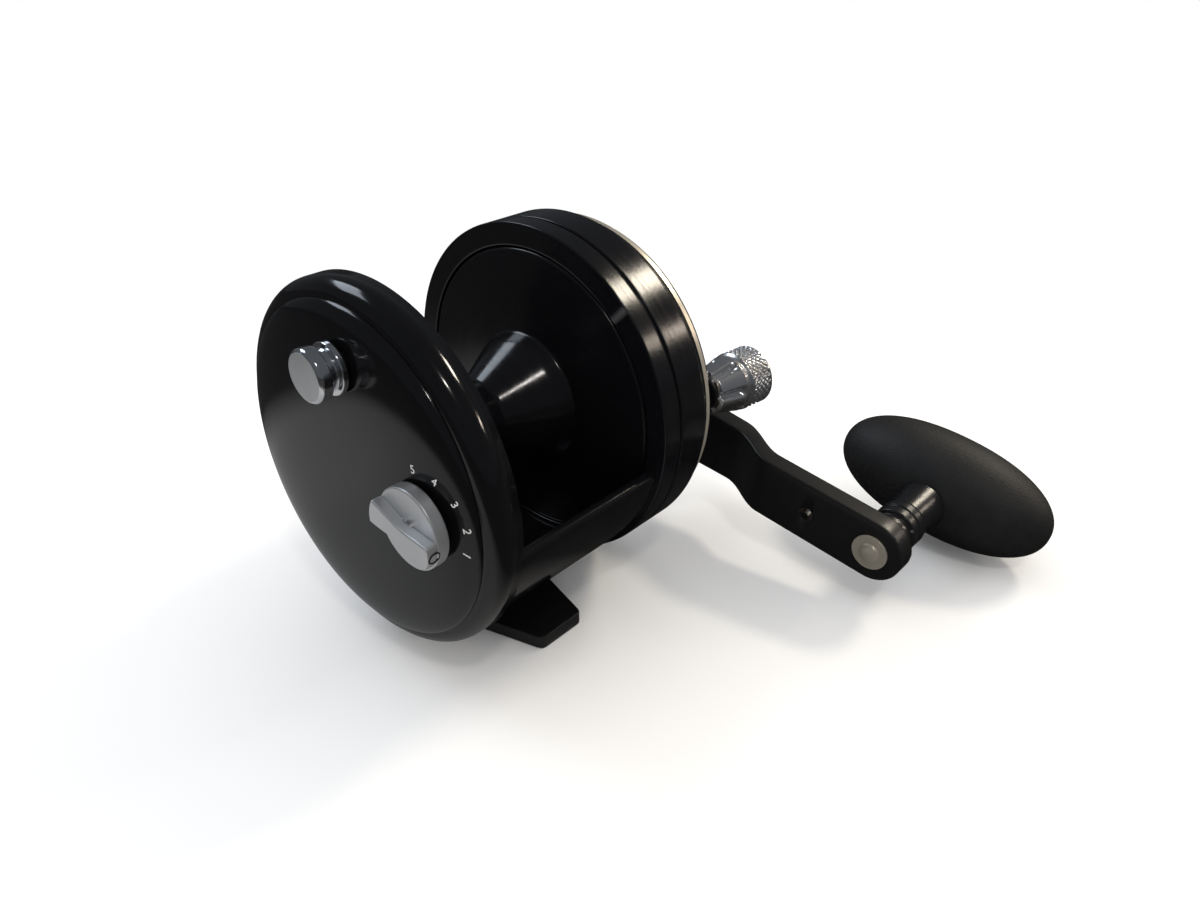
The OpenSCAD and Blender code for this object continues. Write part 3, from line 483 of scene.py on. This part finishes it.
def numberPiece(digit, angle):
    # a flat numeral laid on the cover, facing -X, with its top away from the dial
    curve = bpy.data.curves.new("dialNumber" + digit, "FONT")
    curve.body = digit
    curve.size = numberLook["height"] * mm
    curve.align_x, curve.align_y = "CENTER", "CENTER"
    curve.extrude = numberLook["proud"] * mm
    text = bpy.data.objects.new("numeral", curve)
    bpy.context.scene.collection.objects.link(text)
    bpy.context.view_layer.update()
    mesh = bpy.data.meshes.new_from_object(text)
    bpy.data.objects.remove(text)
    y = dialMiddle[1] + numberLook["distance"] * math.cos(math.radians(angle))
    z = dialMiddle[2] + numberLook["distance"] * math.sin(math.radians(angle))
    away = math.hypot(y - spoolY, z - spoolZ)
    x = leftX - coverHeight(away) - numberLook["proud"] * 0.4
    up = Vector((0, math.cos(math.radians(angle)), math.sin(math.radians(angle))))
    slope = (coverHeight(away + 0.5) - coverHeight(away - 0.5))
    out = Vector((0, (y - spoolY) / away, (z - spoolZ) / away))
    normal = (Vector((-1, 0, 0)) - out * float(slope)).normalized()
    up = (up - normal * up.dot(normal)).normalized()
    side = up.cross(normal)
    turn = Matrix((side, up, normal)).transposed().to_4x4()
    mesh.transform(Matrix.Translation(Vector((x, y, z)) * mm) @ turn)
    piece = bpy.data.objects.new("dialNumber" + digit, mesh)
    bpy.context.scene.collection.objects.link(piece)
    piece.data.materials.clear()
    piece.data.materials.append(finishes["dialInk"])
    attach(piece, "reel")


for index in range(5):
    numberPiece(str(index + 1), numberLook["first"] + (numberLook["last"] - numberLook["first"]) * index / 4)
print("left cover made")

# clicker button, dial and set screw

dialLook = {"radius": 7.4, "barWidth": 4.8, "discThick": 2.5, "discRound": 0.35, "barHigh": 2.2, "barInset": 0.05,
            "waist": 0.7, "turn": 14.0, "gap": 0.3, "socket": 0.95, "socketProud": 0.03}
face = leftX - coverLook["start"] - coverLook["crown"]    # the cover's crown
discBack = face - dialLook["gap"]
discFront = discBack - dialLook["discThick"]


def dialDisc():
    r = dialLook["radius"]
    line = roundedLine([(0, discBack), (r, discBack), (r, discFront), (0, discFront)], dialLook["discRound"], 4)
    return latheGrid(line, (dialMiddle[1], dialMiddle[2]), 96)


def dialBar():
    # a bar whose sides curve in at the middle, standing on the disc along Y
    inset = dialLook["barInset"]
    r, w, waist = dialLook["radius"] - inset, dialLook["barWidth"] / 2, dialLook["waist"]
    half = math.asin(w / r)
    side = np.linspace(r * math.cos(half), -r * math.cos(half), 17)
    width = w - waist * np.cos(side / r * np.pi / 2) ** 2
    endArc = np.linspace(-half, half, 7)[1:-1]
    outline = np.vstack([np.c_[side, width], np.c_[-r * np.cos(endArc), -r * np.sin(endArc)],
                         np.c_[side[::-1], -width[::-1]], np.c_[r * np.cos(endArc), r * np.sin(endArc)]])
    verts, faces = slab(outline, 0, dialLook["barHigh"])
    return onDial(np.c_[discFront + inset - verts[:, 2], verts[:, :2]]), faces


def onDial(points):
    # turns points about the dial's own axis, to the first number
    c, s = math.cos(math.radians(dialLook["turn"])), math.sin(math.radians(dialLook["turn"]))
    return np.c_[points[:, 0], dialMiddle[1] + points[:, 1] * c - points[:, 2] * s,
                 dialMiddle[2] + points[:, 1] * s + points[:, 2] * c]


makePiece("castDialDisc", *dialDisc(), "dial", "bright_alloy", finishes["blastedAlloy"], replaces=["cast_dial"])
makePiece("castDialBar", *dialBar(), "dial", "bright_alloy", finishes["blastedAlloy"], bevel=0.35)
screwMiddle = middleOf("dial_set_screw")


def socketShadeDisc(name, radius, y, body):
    # a black disc on the end of the bar, with a raised rim and a shallow dip: painted shade in place of the screw's
    # socket
    count = 32
    turn = np.linspace(0, 2 * np.pi, count, endpoint=False)
    rings = [(radius * 1.25, 0.0), (radius * 1.1, -0.12), (radius, -0.1), (radius * 0.9, 0.25), (0.0001, 0.3)]
    verts = np.vstack([np.c_[screwMiddle[0] + r * np.cos(turn), np.full(count, y + d), r * np.sin(turn)]
                       for r, d in rings])
    faces = gridFaces(len(rings), count, wrapColumns=True)
    return makePiece(name, onDial(verts), faces, body, "satin_black", finishes["satinBlack"])


# the screw socket's shade is painted: a black disc with a shallow dip sits on the bar's end
socketShadeDisc("dialScrewSocketShade", dialLook["socket"], dialLook["socketProud"] - dialLook["radius"], "dial")

# a foot flange, a neck and a head stand on a stem; heights are outwards from the cover's crown
clickLook = {"stem": 2.0, "stemFrom": 6.4, "flange": 4.6, "neck": 3.6, "head": 4.7, "faceRadius": 4.25, "high": 5.6}
clickAt = (clickMiddle[1], clickMiddle[2])


def buttonProfile():
    look = clickLook
    inner, outer = leftX - look["stemFrom"], face - look["high"]
    return [(0, inner), (look["stem"], inner), (look["stem"], face - 0.3), (look["flange"], face - 0.3),
            (look["flange"], face - 1.4), (look["neck"], face - 1.6), (look["neck"], face - 3.0),
            (look["head"], face - 3.2), (look["head"], face - 5.1), (look["faceRadius"], outer), (0, outer)]


lathe("clickerButton", buttonProfile(), "clicker", "bright_alloy", finishes["polishedAlloy"], clickAt,
      ["clicker_button"], radius=0.22, segments=96)
capX = face - clickLook["high"] - 0.02
lathe("clickerFace", [(0, capX), (4.15, capX), (4.2, capX + 0.12)], "clicker", "bright_alloy",
      finishes["blastedAlloy"], clickAt, radius=0.05, segments=96)
print("dial and clicker made")

# spool

spoolLook = {"bore": 3.5, "journal": 6.9, "arbor": 7.4, "flangeThick": 2.0, "flangeOut": 1.3, "coneFrom": 16.0}


def spoolProfile():
    # bore, journal, left flange, flared arbor, cone, right flange
    look = spoolLook
    bore, journal, arbor = look["bore"], look["journal"], look["arbor"]
    flange = (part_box("spool")[1][1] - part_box("spool")[0][1]) / mm / 2
    leftFlange = leftX - look["flangeOut"]
    right = rightX + look["flangeThick"]
    return [(bore, leftX - journalOut), (journal, leftX - journalOut), (journal, leftFlange), (flange, leftFlange),
            (flange, leftFlange + look["flangeThick"]), (arbor + 5, leftX + 1.5), (arbor + 1, leftX + 5.4),
            (arbor, leftX + 10), (arbor, right - look["coneFrom"]), (arbor + 5.2, right - 6.5),
            (arbor + 6.2, right - 3.6), (flange, right - look["flangeThick"]), (flange, right), (bore, right)]


lathe("spoolBody", spoolProfile(), "spool", "spool_black", finishes["spoolBlack"], replaces=["spool"], radius=0.6,
      steps=5, segments=192, closed=True)
print("spool made")

# drag lever and its fluted, knurled knob

leverLook = {"angle": 174, "length": 30.6, "hub": 8.6, "end": 3.2, "tilt": 8.0}
knobLook = {"radius": 6.15, "length": 13.4, "lift": 0.65, "flutes": 6, "fluteDeep": 1.15, "knurlCount": 28,
            "knurlRows": 4.6, "knurlHigh": 0.5, "knurlFlat": 1.5}
leverX = spanOf("drag_lever", 0)
leverAngle = math.radians(leverLook["angle"])
knobAt = leverLook["length"]
knobBase = np.array([leverX[0] + knobLook["lift"], spoolY + knobAt * math.cos(leverAngle),
                     spoolZ + knobAt * math.sin(leverAngle)])


def knobGrid():
    # radius(turn, along): scooped flutes on the inner half, crossed helical ridges on the outer half
    turns, steps = 336, 150
    turn = np.linspace(0, 2 * np.pi, turns, endpoint=False)[:, None]
    s = np.linspace(0, 1, steps)[None, :]
    r, length = knobLook["radius"], knobLook["length"]
    taper = r * np.interp(s, [0, 0.03, 0.45, 0.52, 0.56, 0.95, 1.0], [0.60, 0.72, 0.94, 0.90, 0.98, 0.98, 0.88])
    fluteLength = np.interp(s, [0, 0.06, 0.36, 0.45], [0.9, 1, 1, 0])
    flute = np.clip(np.cos(knobLook["flutes"] * turn), 0, 1) ** 2
    n, m = knobLook["knurlCount"], knobLook["knurlRows"] * np.pi / 0.4
    # two families of helical grooves cross, and flat-topped diamonds are left between them
    grooveA = np.clip(knobLook["knurlFlat"] * np.abs(np.sin(n / 2 * turn + m * s)), 0, 1)
    grooveB = np.clip(knobLook["knurlFlat"] * np.abs(np.sin(n / 2 * turn - m * s)), 0, 1)
    diamond = np.minimum(grooveA, grooveB)
    knurl = np.interp(s, [0.565, 0.6, 0.9, 0.935], [0, 1, 1, 0])
    radius = taper - knobLook["fluteDeep"] * flute * fluteLength
    radius = radius - knobLook["knurlHigh"] * knurl * (1 - diamond)
    along = np.broadcast_to(s * length, radius.shape)
    verts = np.stack([along, radius * np.cos(turn), radius * np.sin(turn)], -1)
    # both ends close to a point on the knob's axis
    inner = np.zeros((turns, 1, 3))
    outer = inner + [length + 0.05, 0, 0]
    verts = np.concatenate([inner, verts, outer], 1)
    return verts.reshape(-1, 3), gridFaces(turns, steps + 2, wrapRows=True)


def leanOut(points, tilt):
    # leans the knob's own X axis outwards in the plane of the lever
    tilt = math.radians(tilt)
    out = np.array([0, math.cos(leverAngle), math.sin(leverAngle)])
    across = np.cross([1.0, 0, 0], out)
    axis = np.array([math.cos(tilt), 0, 0]) + out * math.sin(tilt)
    lean = out * math.cos(tilt) - np.array([math.sin(tilt), 0, 0])
    return points[:, :1] * axis + points[:, 1:2] * lean + points[:, 2:3] * across


knobVerts, knobFaces = knobGrid()
makePiece("leverKnob", leanOut(knobVerts, leverLook["tilt"]) + knobBase, knobFaces, "lever", "bright_alloy",
          finishes["knobAlloy"], replaces=["lever_knob"])


def leverSolid():
    # the lever's outline: a hub circle and an end circle joined by straight flanks
    hub = np.radians(np.linspace(40, 320, 41))
    end = np.radians(np.linspace(-90, 90, 21))
    hubRadius, endRadius = leverLook["hub"], leverLook["end"]
    outline = np.vstack([np.c_[hubRadius * np.cos(hub), hubRadius * np.sin(hub)],
                         np.c_[knobAt + endRadius * np.cos(end), endRadius * np.sin(end)]])
    verts, faces = slab(outline, leverX[0], leverX[1])
    c, s = math.cos(leverAngle), math.sin(leverAngle)
    return np.c_[verts[:, 2], spoolY + verts[:, 0] * c - verts[:, 1] * s,
                 spoolZ + verts[:, 0] * s + verts[:, 1] * c], faces


makePiece("dragLever", *leverSolid(), "lever", "satin_black", finishes["satinBlack"], replaces=["drag_lever"],
          bevel=0.5)
print("lever made")

# handle arm

armLook = {"length": 62.0, "angle": 188.5, "thick": 5.0, "step": 5.0, "bendFrom": 23.0, "bendTo": 35.0,
           "hubRound": 9.0, "endRound": 6.8, "square": 0.16, "holeAt": 46.5, "hole": 1.5}
armX = spanOf("handle_arm", 0)[1] - armLook["thick"]
armTurn = math.radians(armLook["angle"])


def placeOnArm(points):
    # local (x, along the arm, across it) to the row frame
    points = np.asarray(points, float)
    c, s = math.cos(armTurn), math.sin(armTurn)
    return np.c_[armX + points[:, 0], crankY + points[:, 1] * c - points[:, 2] * s,
                 crankZ + points[:, 1] * s + points[:, 2] * c]


def armGrid():
    # rounded-rectangle sections swept along the arm
    # the half width comes from the hub circle, the taper and the end circle
    look, count = armLook, 48
    hubPart = -look["hubRound"] * np.cos(np.linspace(0, np.pi / 2, 14))
    endPart = look["length"] + look["endRound"] * np.sin(np.linspace(0, np.pi / 2, 12))
    along = np.concatenate([hubPart, np.linspace(0, look["length"], 60)[1:-1], endPart])
    hub = np.sqrt(np.clip(look["hubRound"] ** 2 - along ** 2, 0, None))
    taper = np.interp(along, [0, 12, 26, look["length"]], [0, 7.4, 6.9, look["endRound"]])
    end = np.sqrt(np.clip(look["endRound"] ** 2 - (along - look["length"]) ** 2, 0, None))
    half = np.where(along <= 0, hub, np.where(along < look["length"], np.maximum(hub, taper), end))
    half = np.maximum(half, 0.02)
    bend = np.clip((along - look["bendFrom"]) / (look["bendTo"] - look["bendFrom"]), 0, 1)
    shift = -look["step"] * (3 * bend ** 2 - 2 * bend ** 3)
    # x and w: the powers of cosine and sine that make a square with round corners
    turn = np.linspace(0, 2 * np.pi, count, endpoint=False)
    sx = np.sign(np.cos(turn)) * np.abs(np.cos(turn)) ** look["square"]
    sw = np.sign(np.sin(turn)) * np.abs(np.sin(turn)) ** look["square"]
    t = look["thick"] / 2
    x = shift[:, None] + t + (t * 0.98) * sx
    w = half[:, None] * sw
    x = np.where(half[:, None] < 0.5, shift[:, None] + t + t * 0.5 * sx, x)
    verts = np.stack([x, np.broadcast_to(along[:, None], x.shape), w], -1).reshape(-1, 3)
    faces = gridFaces(len(along), count, wrapColumns=True).tolist()
    last = (len(along) - 1) * count
    return verts, faces + [list(range(count))[::-1], list(range(last, last + count))]


armVerts, armFaces = armGrid()
armPiece = makePiece("handleArm", placeOnArm(armVerts), armFaces, "crank", "satin_black", finishes["satinBlack"],
                     replaces=["handle_arm"])


def cutHole(piece, along, radius):
    # a drilled hole through the arm, applied with a short boolean
    turn = np.linspace(0, 2 * np.pi, 40, endpoint=False)
    through = 12
    verts, faces = slab(np.c_[along + radius * np.cos(turn), radius * np.sin(turn)], -through, through)
    verts = placeOnArm(verts[:, [2, 0, 1]])
    mesh = bpy.data.meshes.new("cutter")
    mesh.from_pydata((verts * mm).tolist(), [], faces)
    cutter = bpy.data.objects.new("cutter", mesh)
    bpy.context.scene.collection.objects.link(cutter)
    cut = piece.modifiers.new("hole", "BOOLEAN")
    cut.object = cutter
    cut.solver = "EXACT"
    bpy.context.view_layer.objects.active = piece
    bpy.ops.object.modifier_apply(modifier="hole")
    bpy.data.objects.remove(cutter)


cutHole(armPiece, armLook["holeAt"], armLook["hole"])
print("arm made")

# grip, its stem, washer and screw

gripLook = {"halfLong": 24.9, "halfHigh": 11.75, "halfDeep": 11.7, "fullness": 2.2, "stemGap": 0.3}
washerLook = {"bore": 1.5, "radius": 3.9, "thick": 0.5, "domeRadius": 2.15, "domeHigh": 0.95}
gripX = middleOf("grip")[0]


def signedPower(values, power):
    return np.sign(values) * np.abs(values) ** power


def gripGrid():
    # a superellipsoid, long along the arm: signed powers of sine and cosine
    turns, steps = 120, 72
    turn = np.linspace(0, 2 * np.pi, turns, endpoint=False)[:, None]
    lift = np.linspace(-np.pi / 2, np.pi / 2, steps)[None, :]
    power = 2 / gripLook["fullness"]
    long = gripLook["halfLong"] * signedPower(np.sin(lift), power) * np.ones_like(turn)
    ring = signedPower(np.cos(lift), power)
    deep = gripLook["halfDeep"] * ring * np.cos(turn)
    high = gripLook["halfHigh"] * ring * np.sin(turn)
    verts = np.stack([deep + (gripX - armX), armLook["length"] + long, high], -1).reshape(-1, 3)
    return placeOnArm(verts), gridFaces(turns, steps, wrapRows=True)


makePiece("gripBody", *gripGrid(), "grip", "grip_rubber", finishes["gripRubber"], replaces=["grip"])
gripCentre = tuple(placeOnArm([[0, armLook["length"], 0]])[0][1:])
# radius and height of the stem's rings and grooves, from the arm outwards
stemX = armX + armLook["thick"] - armLook["step"] + gripLook["stemGap"]
stemRings = [(3.3, 0), (5.2, 0), (5.2, 2.4), (4.3, 2.8), (4.3, 3.9), (5.2, 4.3), (5.2, 6.2), (4.9, 6.4), (4.9, 6.8),
             (5.2, 7.0), (5.2, 9.0), (4.7, 9.6), (4.9, 13), (5.4, 18), (3.3, 18)]
lathe("gripStem", [(r, stemX + high) for r, high in stemRings], "grip", "collar_black", finishes["collarBlack"],
      gripCentre, ["grip_collar"], radius=0.3, segments=96, closed=True)
washerBack = armX - armLook["step"]
washerFront = washerBack - washerLook["thick"]
washerProfile = [(washerLook["bore"], washerBack), (washerLook["radius"], washerBack),
                 (washerLook["radius"], washerFront), (washerLook["bore"], washerFront)]
lathe("gripWasher", washerProfile, "crank", "champagne", finishes["champagneAlloy"], gripCentre, ["grip_washer"],
      radius=0.15, segments=96, closed=True)
dome = np.radians(np.linspace(0, 90, 9))
domeProfile = np.c_[washerLook["domeRadius"] * np.cos(dome), washerFront - washerLook["domeHigh"] * np.sin(dome)]
makePiece("gripScrewHead", *latheGrid(domeProfile, gripCentre, 64), "crank", "champagne",
          finishes["champagneAlloy"], replaces=["grip_screw"])
print("grip made")

# reel foot

footLook = {"length": 56.0, "tip": 11.2, "root": 21.2, "width": 32.0, "thick": 3.0, "back": -10.0, "front": 16.0,
            "corner": 1.2}


def footOutline():
    look = footLook
    half, tip, root, wide = look["length"] / 2, look["tip"] / 2, look["root"] / 2, look["width"] / 2
    back, front = look["back"], look["front"]
    corners = [(-tip, -half), (tip, -half), (root, back), (wide, back), (wide, front), (root, front),
               (tip, half), (-tip, half), (-root, front), (-wide, front), (-wide, back), (-root, back)]
    return roundedLine(corners, look["corner"], 3, closed=True)


footVerts, footFaces = slab(footOutline(), 0, footLook["thick"])
makePiece("reelFoot", footVerts, footFaces, "reel", "satin_black", finishes["satinBlack"], replaces=["reel_foot"],
          bevel=0.4)
print("foot made")

# finishes of the pieces kept as they are

carried = {
    "bandBlack": ["gear_plate"],
    "plateBlack": ["right_cover"],
    "satinBlack": ["preset_knob", "magnet_carrier"],
    "polishedAlloy": ["shift_button", "handle_nut"],
    "champagneAlloy": ["trim_ring"],
    "blastedAlloy": ["brake_magnets"],
    "bronze": ["high_gear", "low_gear", "pinion_cluster", "shaft_bush"],
    "carbonDisc": ["drag_washer"],
}
named = {node: look for look, group in carried.items() for node in group}
for node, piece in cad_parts.items():
    piece.data.materials.clear()
    piece.data.materials.append(finishes[named.get(node, "steel")])
print("carried nodes finished")

# floor, light and camera

floorLook = {"paper": 0.86, "far": 0.03, "least": 0.62, "patch": (-0.075, 0.02, 0.0), "nearFrom": 0.035,
             "nearTo": 0.105, "whiteFrom": 0.13, "whiteTo": 0.22, "size": 3.0, "below": 0.0001}


def floorMaterial():
    # a pale sheet under the reel; reflections see it darken away from the reel, and the camera sees it turn white
    look = floorLook
    material = bpy.data.materials.new("floorPaper")
    material.use_nodes = True
    tree = material.node_tree
    shader = tree.nodes["Principled BSDF"]
    shader.inputs["Roughness"].default_value = 0.8
    shader.inputs["Specular IOR Level"].default_value = 0.1
    coordinates = tree.nodes.new("ShaderNodeTexCoord").outputs["Object"]

    def distanceFrom(place):
        node = tree.nodes.new("ShaderNodeVectorMath")
        node.operation = "DISTANCE"
        node.inputs[1].default_value = place
        tree.links.new(coordinates, node.inputs[0])
        return node.outputs["Value"]

    fall = rampNode(tree, distanceFrom(look["patch"]), look["nearFrom"], look["nearTo"])
    path = tree.nodes.new("ShaderNodeLightPath")
    fall = math2(tree, "MAXIMUM", fall, look["least"])
    dark = math2(tree, "MULTIPLY", fall, path.outputs["Is Glossy Ray"])
    tree.links.new(mixColour(tree, dark, (look["paper"],) * 3, (look["far"],) * 3), shader.inputs["Base Color"])
    white = tree.nodes.new("ShaderNodeEmission")
    far = rampNode(tree, distanceFrom((0, 0, 0)), look["whiteFrom"], look["whiteTo"])
    mix = tree.nodes.new("ShaderNodeMixShader")
    tree.links.new(math2(tree, "MULTIPLY", far, path.outputs["Is Camera Ray"]), mix.inputs[0])
    tree.links.new(shader.outputs[0], mix.inputs[1])
    tree.links.new(white.outputs[0], mix.inputs[2])
    tree.links.new(mix.outputs[0], tree.nodes["Material Output"].inputs["Surface"])
    return material


edge = floorLook["size"]
floorMesh = bpy.data.meshes.new("floor")
floorMesh.from_pydata([(-edge, -edge, 0), (edge, -edge, 0), (edge, edge, 0), (-edge, edge, 0)], [], [(0, 1, 2, 3)])
floor = bpy.data.objects.new("floor", floorMesh)
bpy.context.scene.collection.objects.link(floor)
floor.location.z = cadBox[0][2] - floorLook["below"]
floor.data.materials.append(floorMaterial())

# white to every ray but the mirror-like ones, which see a dim room
roomLook = {"colour": (0.80, 0.86, 0.95, 1), "strength": 0.10}
world = bpy.data.worlds.new("studio")
bpy.context.scene.world = world
world.use_nodes = True
tree = world.node_tree
background = tree.nodes["Background"]
path = tree.nodes.new("ShaderNodeLightPath")
white = tree.nodes.new("ShaderNodeBackground")
white.inputs["Strength"].default_value = 1.0
white.inputs["Color"].default_value = (1, 1, 1, 1)
background.inputs["Color"].default_value = roomLook["colour"]
background.inputs["Strength"].default_value = roomLook["strength"]
mix = tree.nodes.new("ShaderNodeMixShader")
tree.links.new(path.outputs["Is Glossy Ray"], mix.inputs[0])
tree.links.new(white.outputs[0], mix.inputs[1])
tree.links.new(background.outputs[0], mix.inputs[2])
tree.links.new(mix.outputs[0], tree.nodes["World Output"].inputs["Surface"])


lampAim = Vector((0, 0, 0.03))


def lamp(name, place, size, power, colour):
    data = bpy.data.lights.new(name, "AREA")
    data.shape = "RECTANGLE"
    data.size, data.size_y = size
    data.energy = power
    data.color = colour
    light = bpy.data.objects.new(name, data)
    bpy.context.scene.collection.objects.link(light)
    light.location = place
    light.rotation_euler = (lampAim - Vector(place)).to_track_quat("-Z", "Y").to_euler()


lamp("keyLamp", (0.64, -0.20, 0.60), (0.20, 0.09), 2.6, (1.0, 0.90, 0.74))
lamp("lowLamp", (0.62, -0.48, 0.33), (0.12, 0.06), 0.5, (1.0, 0.86, 0.72))
lamp("sideLamp", (-0.25, -0.45, 0.75), (0.10, 0.05), 0.9, (1.0, 0.95, 0.9))
lamp("skyLamp", (-0.15, 0.75, 0.75), (0.55, 0.35), 3.0, (0.80, 0.89, 1.0))

cameraLook = {"place": (-0.1028, -0.1305, 0.1283), "ahead": (0.643, 0.577, -0.504), "lens": 28.04, "sensor": 36.0,
              "clip": 0.005}
cameraData = bpy.data.cameras.new("camera")
cameraData.lens = cameraLook["lens"]
cameraData.sensor_width = cameraLook["sensor"]
cameraData.clip_start = cameraLook["clip"]
camera = bpy.data.objects.new("camera", cameraData)
bpy.context.scene.collection.objects.link(camera)
camera.location = cameraLook["place"]
camera.rotation_euler = Vector(cameraLook["ahead"]).to_track_quat("-Z", "Y").to_euler()
bpy.context.scene.camera = camera
bpy.context.scene.view_settings.view_transform = "Standard"
print("stage, light and camera made")
